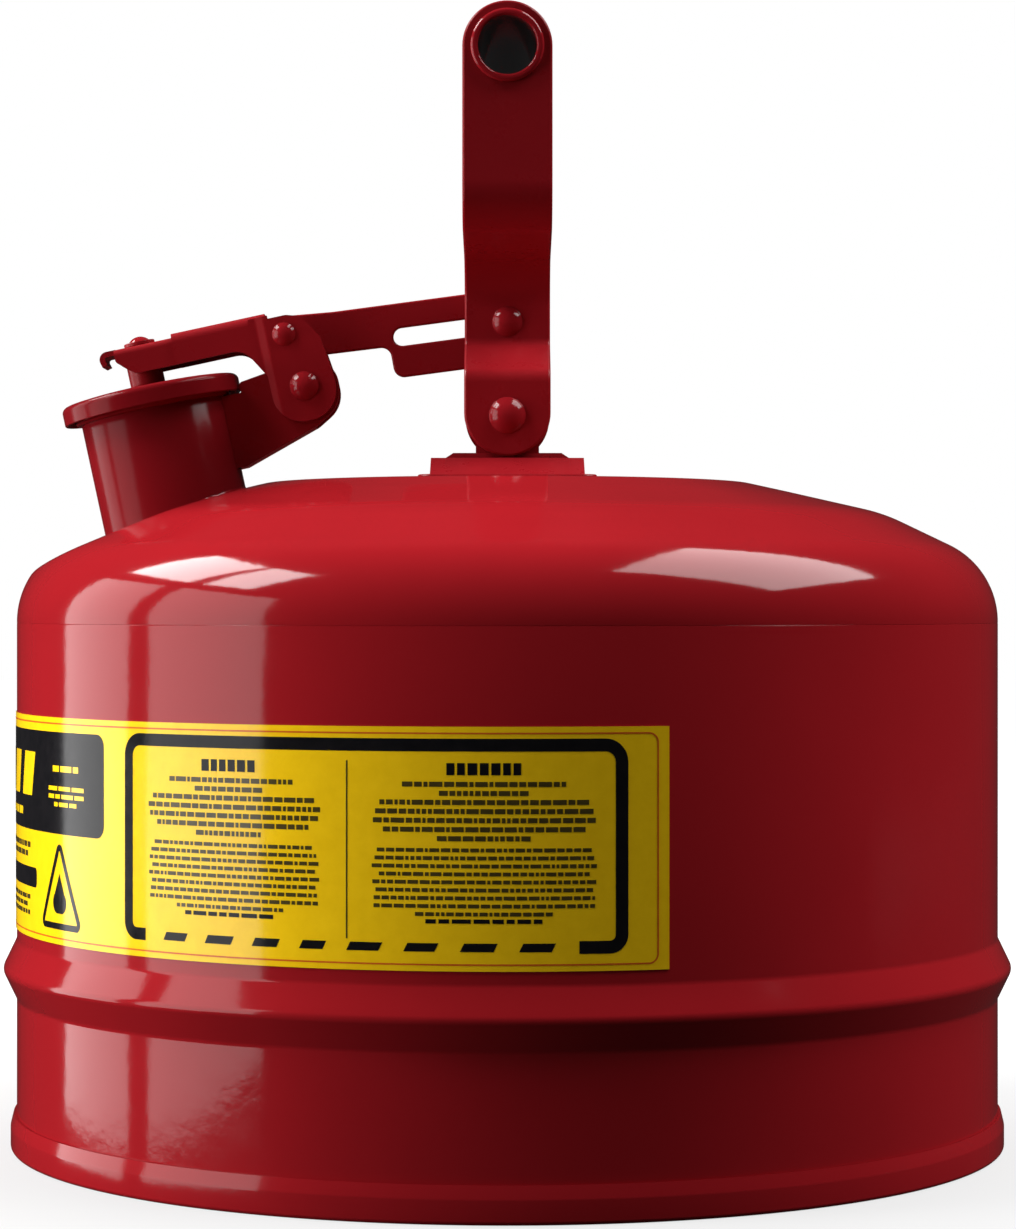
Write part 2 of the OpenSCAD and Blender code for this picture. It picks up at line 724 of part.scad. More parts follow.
module stand_pad()
    color(RED) translate([0, 0, top_z]) linear_extrude(pad_t)
        polygon(outline([for (c = [[1, 1], [-1, 1], [-1, -1], [1, -1]])
            [c.x * (saddle_l / 2 + 3.5), c.y * (foot_y + 4.5), 5]]));

module stand_rivets()
    color(RED) at_hub() for (s = [-1, 1]) scale([1, s, 1]) {
        axle(hub_r, stand_y - stand_t - 1.2, strap_low_y + slide);
        translate([0, stand_y - stand_t - touch, 0]) head(6.4, 1.2 + 1);
        translate([0, strap_low_y + slide, 0]) mirror([0, 1, 0]) head(5.4, 2.8);
    }

module stand_washers()
    color(STEEL) at_hub() for (s = [-1, 1]) scale([1, s, 1]) difference() {
        axle(8, stand_y + touch, strap_low_y - strap_t - slide);
        axle(hub_r + touch, 0, 40);
    }

body_shell();
top_dome();
bottom_pan();
label();
spout_tube();
spout_bracket();
arrester_flange();
arrester_screen();
arrester_end_cap();
lid_cap();
lid_gasket();
gasket_retainer();
lid_stem();
stem_washer();
spring_cup();
vent_spring();
lid_lever();
lever_pivot_pin();
lever_pivot_bush();
lever_spring();
link_pin();
link_spacers();
slotted_link();
handle_strap_near();
handle_strap_far();
grip_tube();
slot_rivet();
slot_bushes();
handle_stand();
stand_pad();
stand_rivets();
stand_washers();
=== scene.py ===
import json
import random
from math import acos, atan2, ceil, cos, degrees, pi, radians, sin, sqrt, tan
import bpy
import bmesh
from mathutils import Matrix, Vector


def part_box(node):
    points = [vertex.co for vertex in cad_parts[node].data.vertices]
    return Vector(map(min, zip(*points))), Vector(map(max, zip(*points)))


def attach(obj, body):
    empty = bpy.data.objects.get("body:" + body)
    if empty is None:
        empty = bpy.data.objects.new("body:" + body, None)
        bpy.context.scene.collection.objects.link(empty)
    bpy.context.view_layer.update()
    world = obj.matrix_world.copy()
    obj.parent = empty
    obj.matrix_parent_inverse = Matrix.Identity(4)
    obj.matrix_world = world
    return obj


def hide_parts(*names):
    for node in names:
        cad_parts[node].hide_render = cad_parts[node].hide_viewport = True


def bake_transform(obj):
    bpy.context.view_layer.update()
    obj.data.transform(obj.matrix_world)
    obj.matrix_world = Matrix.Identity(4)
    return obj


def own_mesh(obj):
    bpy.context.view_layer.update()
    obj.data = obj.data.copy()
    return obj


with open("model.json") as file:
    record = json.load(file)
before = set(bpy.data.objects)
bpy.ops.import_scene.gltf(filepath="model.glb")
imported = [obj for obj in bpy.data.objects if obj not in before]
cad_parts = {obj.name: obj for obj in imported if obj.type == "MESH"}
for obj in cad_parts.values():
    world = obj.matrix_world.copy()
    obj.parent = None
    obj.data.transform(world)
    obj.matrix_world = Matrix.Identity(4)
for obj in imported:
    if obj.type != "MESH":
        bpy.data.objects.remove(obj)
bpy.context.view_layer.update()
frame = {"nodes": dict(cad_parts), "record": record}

MM = 0.001
RECORD = frame["record"]
BODY = {}
for body_name, members in RECORD["behaviour"]["bodies"].items():
    for member in members:
        BODY[member] = body_name

# ---- camera ----

cam = bpy.data.objects.new("Camera", bpy.data.cameras.new("Camera"))
bpy.context.scene.collection.objects.link(cam)
cam.location = (0.0, -1.015, 0.1595)
cam.rotation_euler = (radians(90), 0, 0)
cam.data.sensor_width = 36
cam.data.lens = 99.54
cam.data.shift_x = 0.0005
cam.data.shift_y = -0.0100
cam.data.clip_start = 0.01
bpy.context.scene.camera = cam
bpy.context.scene.view_settings.view_transform = "Standard"

# ---- light ----


def softbox(name, centre, facing, width, height, radiance, mirrored=True):
    """A rectangular studio light: width is its level side, facing is where it points."""
    light = bpy.data.lights.new(name, "AREA")
    light.shape = "RECTANGLE"
    light.size, light.size_y = width, height
    light.energy = 4 * width * height * radiance
    obj = bpy.data.objects.new(name, light)
    bpy.context.scene.collection.objects.link(obj)
    obj.location = centre
    obj.rotation_euler = Vector(facing).to_track_quat("-Z", "Y").to_euler()
    obj.visible_camera = False
    obj.visible_glossy = mirrored
    return obj


# Tall window-like boxes on the left, and flat ones above left and right
softbox("left_back", (-0.9, 0.19, 0.27), (1, 0, 0), 0.43, 0.78, 3.0)
softbox("left_front", (-0.9, -0.405, 0.27), (1, 0, 0), 0.56, 0.78, 3.0)
softbox("top_left_back", (-1.24, 0.26, 1.4), (1, -0.1, -1), 0.72, 0.6, 15)
softbox("top_left_front", (-1.24, -0.43, 1.4), (1, 0.1, -1), 0.44, 0.6, 15)
softbox("top_right", (1.04, -0.1, 1.4), (-0.35, 0, -1), 1.15, 1.15, 7.2)
# Fill that lights the paint without showing in its gloss
softbox("top_back", (0.0, 0.7, 1.4), (0, -0.5, -1), 1.4, 0.6, 5.5, False)
softbox("right_side", (1.0, 0.3, 0.05), (-1, -0.3, 0), 0.8, 0.1, 9, False)
softbox("left_side", (-0.9, -0.1, 0.05), (1, 0.1, 0), 0.8, 0.1, 13, False)
softbox("front_fill", (0.5, -2.2, 1.2), (-0.2, 1, -0.45), 1.6, 1.0, 0.2, False)


def studio_world():
    """White to the camera, and nearly dark to everything else."""
    world = bpy.data.worlds.new("studio")
    bpy.context.scene.world = world
    world.use_nodes = True
    tree = world.node_tree
    tree.nodes.clear()
    output = tree.nodes.new("ShaderNodeOutputWorld")
    mix = tree.nodes.new("ShaderNodeMixShader")
    path = tree.nodes.new("ShaderNodeLightPath")
    dim = tree.nodes.new("ShaderNodeBackground")
    white = tree.nodes.new("ShaderNodeBackground")
    dim.inputs["Color"].default_value = (1.0, 0.96, 0.97, 1)
    dim.inputs["Strength"].default_value = 0.02
    white.inputs["Color"].default_value = (1, 1, 1, 1)
    white.inputs["Strength"].default_value = 1.0
    tree.links.new(path.outputs["Is Camera Ray"], mix.inputs[0])
    tree.links.new(dim.outputs[0], mix.inputs[1])
    tree.links.new(white.outputs[0], mix.inputs[2])
    tree.links.new(mix.outputs[0], output.inputs["Surface"])


studio_world()

# ---- materials ----


def graph(name):
    """A material, its node tree, its Principled shader and a maker of nodes."""
    m = bpy.data.materials.new(name)
    m.use_nodes = True
    t = m.node_tree
    shader = t.nodes["Principled BSDF"]

    def node(kind, **values):
        n = t.nodes.new(kind)
        for key, value in values.items():
            if key in n.inputs:
                n.inputs[key].default_value = value
            else:
                setattr(n, key, value)
        return n

    coords = node("ShaderNodeTexCoord")
    return m, t, shader, node, coords.outputs["Object"]


def noise(t, node, coords, scale, detail=3.0, roughness=0.5):
    n = node("ShaderNodeTexNoise", Scale=scale, Detail=detail, Roughness=roughness)
    t.links.new(coords, n.inputs["Vector"])
    return n.outputs["Fac"]


def ramp(t, node, fac, stops):
    r = node("ShaderNodeValToRGB")
    t.links.new(fac, r.inputs["Fac"])
    e = r.color_ramp.elements
    while len(e) < len(stops):
        e.new(0.5)
    for item, (pos, value) in zip(e, stops):
        item.position = pos
        item.color = (*value, 1) if isinstance(value, tuple) else (value, value, value, 1)
    return r.outputs["Color"]


def bump(t, node, shader, height, strength, distance, after=None):
    b = node("ShaderNodeBump", Strength=strength, Distance=distance)
    t.links.new(height, b.inputs["Height"])
    if after is not None:
        t.links.new(after, b.inputs["Normal"])
    t.links.new(b.outputs["Normal"], shader.inputs["Normal"])
    return b.outputs["Normal"]


def enamel(name, red, dark, gloss, peel, shine=0.25):
    """Sprayed gloss enamel: slow shade drift, orange peel, and faint rub marks in the gloss."""
    m, t, s, node, co = graph(name)
    t.links.new(ramp(t, node, noise(t, node, co, 9, 4), [(0.35, dark), (0.65, red)]),
                s.inputs["Base Color"])
    rub = noise(t, node, co, 90, 8, 0.7)
    t.links.new(ramp(t, node, rub, [(0.35, gloss), (0.7, gloss * 1.3)]), s.inputs["Roughness"])
    s.inputs["Specular IOR Level"].default_value = shine
    first = bump(t, node, s, noise(t, node, co, 330, 2), peel, 0.0004)
    bump(t, node, s, noise(t, node, co, 70, 2), peel * 0.9, 0.0012, first)
    return m


def metal(name, low, high, rough, scale):
    """Zinc-plated steel with a patchy, slightly brushed surface."""
    m, t, s, node, co = graph(name)
    t.links.new(ramp(t, node, noise(t, node, co, scale, 6, 0.6), [(0.3, low), (0.7, high)]),
                s.inputs["Base Color"])
    t.links.new(ramp(t, node, noise(t, node, co, scale * 3, 4), [(0.3, rough * 0.8), (0.7, rough * 1.3)]),
                s.inputs["Roughness"])
    s.inputs["Metallic"].default_value = 1.0
    bump(t, node, s, noise(t, node, co, 1500, 3), 0.06, 0.0002)
    return m


def matt(name, low, high, rough, grain, shine=0.25):
    """Rubber or ink: a low sheen and a fine grain."""
    m, t, s, node, co = graph(name)
    t.links.new(ramp(t, node, noise(t, node, co, 220, 5, 0.6), [(0.3, low), (0.7, high)]),
                s.inputs["Base Color"])
    t.links.new(ramp(t, node, noise(t, node, co, 400, 3), [(0.3, rough * 0.85), (0.7, rough * 1.2)]),
                s.inputs["Roughness"])
    s.inputs["Specular IOR Level"].default_value = shine
    bump(t, node, s, noise(t, node, co, grain, 3), 0.05, 0.0002)
    return m


RED = enamel("red_enamel", (0.285, 0.0085, 0.0125), (0.255, 0.0075, 0.011), 0.075, 0.04)
# The next three are the can's red enamel again with darker base colours, which is painted shade: the
# fittings, the spout and lid (darkest), and the small round parts.
SATIN_RED_SHADED = enamel("red_enamel_fittings_shaded", (0.235, 0.0066, 0.0105), (0.205, 0.0058, 0.009), 0.26, 0.05, 0.13)
SPOUT_RED_SHADED = enamel("red_enamel_spout_shaded", (0.165, 0.005, 0.008), (0.145, 0.0045, 0.007), 0.14, 0.05, 0.07)
GLOSSY_RED_SHADED = enamel("red_enamel_rivets_shaded", (0.24, 0.0075, 0.0115), (0.21, 0.0065, 0.01), 0.1, 0.03)
STEEL = metal("plated_steel", (0.5, 0.5, 0.51), (0.68, 0.68, 0.69), 0.3, 120)
SPRING = metal("spring_steel", (0.42, 0.42, 0.44), (0.58, 0.58, 0.6), 0.24, 200)
RUBBER = matt("gasket_rubber", (0.015, 0.015, 0.016), (0.03, 0.03, 0.031), 0.6, 900)
YELLOW = matt("label_yellow", (0.84, 0.515, 0.005), (0.90, 0.565, 0.007), 0.1, 260)
INK = matt("ink_black", (0.005, 0.005, 0.006), (0.009, 0.008, 0.009), 0.12, 260, 0.14)
TEXT = matt("ink_text", (0.045, 0.034, 0.008), (0.07, 0.05, 0.012), 0.14, 260)
ORANGE = matt("ink_orange", (0.55, 0.10, 0.01), (0.62, 0.13, 0.012), 0.12, 260)

# ---- meshes ----


def make(name, verts, faces, materials, body, slot, nodes=(), indices=None, sharp=32):
    """A piece from its vertices and faces, shaded smooth between sharp edges."""
    mesh = bpy.data.meshes.new(name)
    mesh.from_pydata([tuple(v) for v in verts], [], faces)
    obj = bpy.data.objects.new(name, mesh)
    bpy.context.scene.collection.objects.link(obj)
    for m in materials if isinstance(materials, (list, tuple)) else [materials]:
        mesh.materials.append(m)
    if indices:
        mesh.polygons.foreach_set("material_index", indices)
    soften(mesh, sharp)
    finish_piece(obj, body, nodes)
    return obj


def soften(mesh, sharp):
    """Merges doubles and shades the mesh smooth, except at edges sharper than that angle."""
    bm = bmesh.new()
    bm.from_mesh(mesh)
    bmesh.ops.remove_doubles(bm, verts=bm.verts, dist=1e-6)
    bmesh.ops.recalc_face_normals(bm, faces=bm.faces)
    for f in bm.faces:
        f.smooth = True
    for e in bm.edges:
        e.smooth = not (len(e.link_faces) == 2 and e.calc_face_angle(0) > radians(sharp))
    bm.to_mesh(mesh)
    bm.free()


def finish_piece(obj, body, nodes):
    if body:
        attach(obj, body)
    if nodes:
        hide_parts(*nodes)


def refined(node, material, bevel):
    """The CAD node's own shape with its edges eased and shaded cleanly."""
    source = frame["nodes"][node]
    mesh = source.data.copy()
    obj = bpy.data.objects.new("v_" + node, mesh)
    bpy.context.scene.collection.objects.link(obj)
    mesh.materials.clear()
    mesh.materials.append(material)
    bm = bmesh.new()
    bm.from_mesh(mesh)
    bmesh.ops.remove_doubles(bm, verts=bm.verts, dist=2e-6)
    bmesh.ops.dissolve_limit(bm, angle_limit=radians(0.6), verts=bm.verts, edges=bm.edges)
    for f in bm.faces:
        f.smooth = True
        f.material_index = 0
    for e in bm.edges:
        e.smooth = not (len(e.link_faces) == 2 and e.calc_face_angle(0) > radians(30))
    bm.to_mesh(mesh)
    bm.free()
    if "custom_normal" in mesh.attributes:
        mesh.attributes.remove(mesh.attributes["custom_normal"])
    if bevel:
        mod = obj.modifiers.new("edge", "BEVEL")
        mod.width = bevel * MM
        mod.segments = 2
        mod.limit_method = "ANGLE"
        mod.angle_limit = radians(30)
        mod.miter_outer = "MITER_ARC"
    even = obj.modifiers.new("even", "WEIGHTED_NORMAL")
    even.keep_sharp = True
    deps = bpy.context.evaluated_depsgraph_get()
    done = bpy.data.meshes.new_from_object(obj.evaluated_get(deps))
    obj.modifiers.clear()
    obj.data = done
    done.name = obj.name
    finish_piece(obj, BODY[node], [node])
    return obj


# ---- plane outlines, in millimetres ----


def arc(a, b, c, r, step):
    """The points that round the corner b of the line a-b-c to a radius."""
    a, b, c = Vector(a), Vector(b), Vector(c)
    u, w = (a - b).normalized(), (c - b).normalized()
    half = acos(max(-1, min(1, u.dot(w)))) / 2
    if half > pi / 2 - 1e-3:
        return [b]
    m = b + (u + w).normalized() * r / sin(half)
    p, q = b + u * r / tan(half) - m, b + w * r / tan(half) - m
    start = atan2(p.y, p.x)
    turn = (atan2(q.y, q.x) - start + 3 * pi) % (2 * pi) - pi
    n = max(3, ceil(abs(turn) / radians(step)))
    return [m + r * Vector((cos(start + turn * i / n), sin(start + turn * i / n))) for i in range(n + 1)]


def rounded(path, closed=False, step=5):
    """Points of a path of (x, y, corner radius)."""
    out, n = [], len(path)
    for i, (x, y, r) in enumerate(path):
        if r == 0 or (not closed and i in (0, n - 1)):
            out.append(Vector((x, y)))
        else:
            out += arc(path[i - 1][:2], (x, y), path[(i + 1) % n][:2], r, step)
    return out


def parallel(path, t):
    """The same path moved to its left by t, with its corner radii to suit."""
    out, last = [], len(path) - 1
    for i, (x, y, r) in enumerate(path):
        p = Vector((x, y))
        d0 = ((p - Vector(path[i - 1][:2])) if i else (Vector(path[1][:2]) - p)).normalized()
        d1 = (Vector(path[i + 1][:2]) - p).normalized() if i < last else d0
        m = t * (Vector((-d0.y, d0.x)) + Vector((-d1.y, d1.x))) / (1 + d0.dot(d1))
        turn = d0.x * d1.y - d0.y * d1.x
        sign = (turn > 1e-9) - (turn < -1e-9)
        out.append((x + m.x, y + m.y, 0 if r == 0 else max(r - t * sign, 0)))
    return out


def section(path, t, step=5):
    """Closed outline of a sheet of thickness t on the left of a path."""
    return rounded(path, step=step) + rounded(parallel(path, t), step=step)[::-1]


# ---- turned pieces ----


def turned_faces(profile, sides):
    """Faces between the stations of a turned outline, with none on the axis itself."""
    faces, n = [], len(profile)
    for k in range(sides):
        j = (k + 1) % sides
        for i in range(n):
            h = (i + 1) % n
            if profile[i].x > 1e-6 or profile[h].x > 1e-6:
                faces.append((k * n + i, j * n + i, j * n + h, k * n + h))
    return faces


def lathe(name, profile, sides, material, body, slot, nodes=(), place=None, sharp=32):
    """Turns a closed outline of (radius, height) in millimetres into a solid."""
    place = place or Matrix.Identity(4)
    verts = []
    for k in range(sides):
        a = 2 * pi * k / sides
        for p in profile:
            verts.append(place @ (Vector((p.x * cos(a), p.x * sin(a), p.y)) * MM))
    return make(name, verts, turned_faces(profile, sides), material, body, slot, nodes, sharp=sharp)


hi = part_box("body_shell")[1]
BODY_R = 145.0
SHEET = 0.9
TOUCH = 0.03                  # gap between pieces that touch
SEAM = hi.z / MM
BEAD_Z, BEAD_OUT, BEAD_HALF = 52.6, hi.x / MM - BODY_R, 8.6
wall = [(BODY_R, 1.2, 0), (BODY_R, BEAD_Z - BEAD_HALF, 3), (BODY_R + BEAD_OUT + 0.12, BEAD_Z, 3),
        (BODY_R, BEAD_Z + BEAD_HALF, 3), (BODY_R, SEAM, 0.0)]
outer = rounded(wall, step=4)
inner = rounded(parallel(wall, SHEET), step=4)[::-1]
# The wall's upper edge is eased, so the seam shows as a fine line
outer[-1:] = [Vector((BODY_R - back, SEAM - down)) for back, down in ((0, 0.3), (0.04, 0.1), (0.12, 0))]
lathe("shell", outer + inner, 256, RED, "can", "red_paint", ["body_shell"])

TOP = SEAM + 41.1             # the dome's flat middle
SKIRT = BODY_R - SHEET - TOUCH
dome = [(SKIRT, SEAM - 8, 0), (SKIRT, SEAM, 0), (BODY_R, SEAM, 0), (BODY_R, SEAM + 16, 25),
        (BODY_R - 33, SEAM + 32, 50), (84, TOP - 2.6, 6), (72, TOP + 0.1, 8), (58, TOP + 0.4, 12),
        (50, TOP, 10), (0, TOP, 0)]
SEAT_X, SEAT_Z = -78.0, TOP - 1.7
SEAT_SLOPE = tan(radians(21.8))
SLOPED_SHEET = SHEET * 1.08   # the sheet's thickness, measured upright on that slope


def seat(v, drop=0.0):
    """Presses the dome down onto the spout's sloping seat, with a soft brow."""
    plane = SEAT_Z - drop + SEAT_SLOPE * (v.x - SEAT_X)
    gap, soft = plane - v.z, 1.1
    if gap > 8 * soft:
        return v
    z = v.z if gap > 0 else plane
    h = max(soft - abs(gap), 0) / soft
    z -= h * h * soft / 4
    return Vector((v.x, v.y, z))


def dome_mesh():
    """The dome in close rings, pressed down at the spout's seat outside and inside."""
    coarse = rounded(dome, step=2)
    spacing = 2.0
    fine = []
    for a, b in zip(coarse, coarse[1:]):
        steps = max(1, ceil((b - a).length / spacing))
        fine += [a.lerp(b, i / steps) for i in range(steps)]
    fine.append(coarse[-1])
    profile = fine + rounded(parallel(dome, SHEET), step=6)[::-1]
    sides = 288
    verts = []
    for k in range(sides):
        a = 2 * pi * k / sides
        for i, p in enumerate(profile):
            v = Vector((p.x * cos(a), p.x * sin(a), p.y))
            verts.append(seat(v, 0.0 if i < len(fine) else SLOPED_SHEET) * MM)
    return verts, turned_faces(profile, sides)


SPOUT_R, BORE, SPOUT_L = 21.9, 20.7, 38
# The spout's frame: origin at the middle of its mouth, Z out along its axis
MOUTH = Vector((-105.4, 0, TOP + 21.2))
SPOUT = Matrix.Translation(MOUTH * MM) @ Matrix.Rotation(radians(-12.2), 4, "Y")

dome_piece = make("dome", *dome_mesh(), RED, "can", "red_paint", ["top_dome"], sharp=40)


def cut(obj, cutter_verts, cutter_faces):
    """Takes a closed shape out of a piece."""
    mesh = bpy.data.meshes.new("cutter")
    mesh.from_pydata([tuple(v) for v in cutter_verts], [], cutter_faces)
    tool = bpy.data.objects.new("cutter", mesh)
    bpy.context.scene.collection.objects.link(tool)
    bm = bmesh.new()
    bm.from_mesh(mesh)
    bmesh.ops.recalc_face_normals(bm, faces=bm.faces)
    bm.to_mesh(mesh)
    bm.free()
    mod = obj.modifiers.new("hole", "BOOLEAN")
    mod.object = tool
    mod.operation = "DIFFERENCE"
    mod.solver = "EXACT"
    deps = bpy.context.evaluated_depsgraph_get()
    done = bpy.data.meshes.new_from_object(obj.evaluated_get(deps))
    obj.modifiers.clear()
    obj.data = done
    bpy.data.objects.remove(tool)
    bpy.data.meshes.remove(mesh)


def rod(radius, low, high, sides, place):
    """Vertices and faces of a plain bar, for cutting."""
    verts = [place @ (Vector((radius * cos(2 * pi * k / sides), radius * sin(2 * pi * k / sides), z)) * MM)
             for z in (low, high) for k in range(sides)]
    faces = [(k, (k + 1) % sides, sides + (k + 1) % sides, sides + k) for k in range(sides)]
    return verts, faces + [tuple(range(sides))[::-1], tuple(range(sides, 2 * sides))]


cut(dome_piece, *rod(SPOUT_R + TOUCH, -60, 20, 96, SPOUT))
soften(dome_piece.data, 40)

# Foot rim and recessed bottom panel
RIM_IN, RIM_OUT, RIM_TOP = BODY_R - 2 * SHEET - TOUCH, BODY_R + 1.8, 10.3
PANEL_Z = 7.1
rim = [(0, PANEL_Z, 0), (RIM_IN, PANEL_Z, 2.5), (RIM_IN, 0, 0.8), (RIM_OUT, 0, 1.2),
       (RIM_OUT, RIM_TOP - 3.6, 3), (BODY_R + SHEET + TOUCH, RIM_TOP, 0)]
lathe("foot", section(rim, SHEET, 5), 256, RED, "can", "red_paint", ["bottom_pan"])

# Spout tube with its rolled lip
LIP = 1.5
lip = [Vector((SPOUT_R + 0.2 + LIP * cos(radians(t)), LIP + 0.4 + LIP * sin(radians(t))))
       for t in range(-100, 200, 12)]
tube = [Vector((SPOUT_R, -SPOUT_L)), Vector((SPOUT_R, 0.3))] + lip
tube += [Vector((BORE, 0.8)), Vector((BORE, -SPOUT_L))]
lathe("spout", tube, 128, SPOUT_RED_SHADED, "can", "red_paint", ["spout_tube"], SPOUT)


def dome_height(line, r):
    """Height of the dome's outer line at a radius, before the seat is pressed."""
    return max((u.y + (w.y - u.y) * (r - u.x) / (w.x - u.x) for u, w in zip(line, line[1:])
                if min(u.x, w.x) <= r <= max(u.x, w.x) and abs(u.x - w.x) > 1e-9), default=SEAM)


def spout_foot(line, top, down):
    """Where a line down the spout's side from its mouth meets the dome, in millimetres."""
    low, high = 0.0, 60.0
    for _ in range(30):
        mid = (low + high) / 2
        p = top + down * mid
        floor_z = min(dome_height(line, sqrt(p.x * p.x + p.y * p.y)),
                      SEAT_Z + SEAT_SLOPE * (p.x - SEAT_X))
        if p.z > floor_z:
            low = mid
        else:
            high = mid
    return top + down * low


def spout_weld():
    """Weld fillet round the foot of the spout, with a slight ripple in its size."""
    line = rounded(dome, step=3)[3:]
    turn = SPOUT.to_3x3()
    down = turn @ Vector((0, 0, -1))
    rings, steps = 144, 6
    m = steps + 2
    verts, faces = [], []
    for k in range(rings):
        a = 2 * pi * k / rings
        d = Vector((cos(a), sin(a), 0))
        foot = spout_foot(line, SPOUT @ (d * SPOUT_R * MM) / MM, down)
        out = turn @ d
        level = Vector((out.x, out.y, 0)).normalized()
        slope = Vector((level.x, level.y, SEAT_SLOPE * level.x)).normalized()
        leg = 1.1 + 0.12 * sin(17 * a) + 0.08 * sin(41 * a + 1)
        high_end, far_end = foot - down * leg, foot + slope * leg
        for i in range(steps + 1):
            s = i / steps
            w = high_end * (1 - s) ** 2 + foot * 2 * s * (1 - s) + far_end * s ** 2
            verts.append(w.lerp((high_end + far_end) / 2, 0.35 * 4 * s * (1 - s)) * MM)
        verts.append((foot - out * 0.3 + down * 0.5) * MM)
        j = (k + 1) % rings
        for i in range(m):
            h = (i + 1) % m
            faces.append((k * m + i, j * m + i, j * m + h, k * m + h))
    make("spout_weld", verts, faces, RED, "can", "red_paint", sharp=60)


spout_weld()

# Lid cap, pressed from sheet
LIP_H, GASKET, STEM_R = 3.4, 2.6, 2.5
CAP_R, CAP_T, CAP_SKIRT = 26.7, 1.0, 5.9
CAP_UNDER = LIP_H + 0.15 + GASKET
CAP_TOP = CAP_UNDER + CAP_T
CAP_LOW = CAP_TOP - CAP_SKIRT
cap = [(STEM_R + TOUCH, CAP_TOP + 1, 0), (7, CAP_TOP + 1, 3), (CAP_R - 4, CAP_TOP, 14),
       (CAP_R, CAP_TOP - 0.5, 1.8), (CAP_R, CAP_LOW + 0.25, 0)]
cap_pts = rounded(cap, step=4)
cap_pts += [Vector((CAP_R - 0.25, CAP_LOW)), Vector((CAP_R - CAP_T + 0.2, CAP_LOW))]
cap_pts += rounded(parallel(cap, -CAP_T), step=4)[::-1]
lathe("lid", cap_pts, 144, SPOUT_RED_SHADED, "lid", "red_paint", ["lid_cap"], SPOUT, sharp=40)

# ---- flame arrester ----


def woven(name, radius, low, high, pitch, wire, body, slot, node, material):
    """A tube of square-woven wire: hoops and uprights that pass over and under each other."""
    count = round(2 * pi * radius / pitch)
    rows = round((high - low) / pitch)
    verts, faces = [], []

    def strand(points, closed):
        base, n = len(verts), len(points)
        for i, p in enumerate(points):
            a = points[(i + 1) % n] if closed or i < n - 1 else p
            b = points[i - 1] if closed or i else p
            t = (a - b).normalized()
            radial = Vector((p.x, p.y, 0)).normalized()
            side = t.cross(radial).normalized()
            for dr, ds in ((1, 0), (0, 1), (-1, 0), (0, -1)):
                verts.append(SPOUT @ ((p + radial * dr * wire + side * ds * wire) * MM))
        for i in range(n if closed else n - 1):
            j = (i + 1) % n
            for k in range(4):
                h = (k + 1) % 4
                faces.append((base + i * 4 + k, base + j * 4 + k, base + j * 4 + h, base + i * 4 + h))

    for row in range(rows + 1):
        z = low + (high - low) * row / rows
        strand([Vector(((radius + (-1) ** (c + row) * wire) * cos(2 * pi * c / count),
                        (radius + (-1) ** (c + row) * wire) * sin(2 * pi * c / count), z))
                for c in range(count)], True)
    for c in range(count):
        a = 2 * pi * c / count
        strand([Vector(((radius - (-1) ** (c + row) * wire) * cos(a),
                        (radius - (-1) ** (c + row) * wire) * sin(a),
                        low + (high - low) * row / rows)) for row in range(rows + 1)], False)
    return make(name, verts, faces, material, body, slot, [node], sharp=80)


SCREEN_R, SCREEN_TOP, SCREEN_LOW = BORE - 5.7, -2.6, -94.2
MESH_PITCH, MESH_WIRE = 1.9, 0.17
woven("screen", SCREEN_R - 0.35, SCREEN_LOW, SCREEN_TOP, MESH_PITCH, MESH_WIRE,
      "can", "plated_steel", "arrester_screen", SPRING)
for n in ("arrester_flange", "arrester_end_cap"):
    refined(n, STEEL, 0.12)

# ---- sheet metal and small parts ----

for n, b in (("spout_bracket", 0.35), ("lid_lever", 0.3), ("slotted_link", 0.5), ("handle_strap_near", 0.6),
             ("handle_strap_far", 0.6), ("handle_stand", 0.45), ("stand_pad", 0.5),
             ("stem_washer", 0.2), ("spring_cup", 0.15)):
    refined(n, SATIN_RED_SHADED, b)
for n in ("grip_tube", "lever_pivot_pin", "link_pin", "slot_rivet", "stand_rivets", "lid_stem"):
    refined(n, GLOSSY_RED_SHADED, 0)
for n, b in (("gasket_retainer", 0.15), ("lever_pivot_bush", 0.15), ("link_spacers", 0.2),
             ("slot_bushes", 0.2), ("stand_washers", 0.2)):
    refined(n, STEEL, b)
refined("lid_gasket", RUBBER, 0.3)


def coil(name, points, gauge, sides, node, body):
    """Round wire along points in metres, with closed ends."""
    verts, faces, n = [], [], len(points)
    for i, p in enumerate(points):
        t = (points[min(i + 1, n - 1)] - points[max(i - 1, 0)]).normalized()
        ref = Vector((0, 1, 0)) if abs(t.y) < 0.9 else Vector((1, 0, 0))
        u = ref.cross(t).normalized()
        w = t.cross(u)
        for k in range(sides):
            a = 2 * pi * k / sides
            verts.append(p + gauge * MM * (u * cos(a) + w * sin(a)))
    for i in range(n - 1):
        for k in range(sides):
            h = (k + 1) % sides
            faces.append((i * sides + k, i * sides + h, (i + 1) * sides + h, (i + 1) * sides + k))
    faces += [tuple(range(sides))[::-1], tuple(range((n - 1) * sides, n * sides))]
    return make(name, verts, faces, SPRING, body, "plated_steel", [node], sharp=50)


# In the spout's frame: the lever's web and where its sides spread, and the lever's pivot
WEB_H = 20.5 - 1.6
SPLAY_X = 34.5
PIVOT_X, PIVOT_H, PIVOT_R = 45.9, -1.95, 3.0
BRACKET_Y, BRACKET_T = 6.4, 2.0


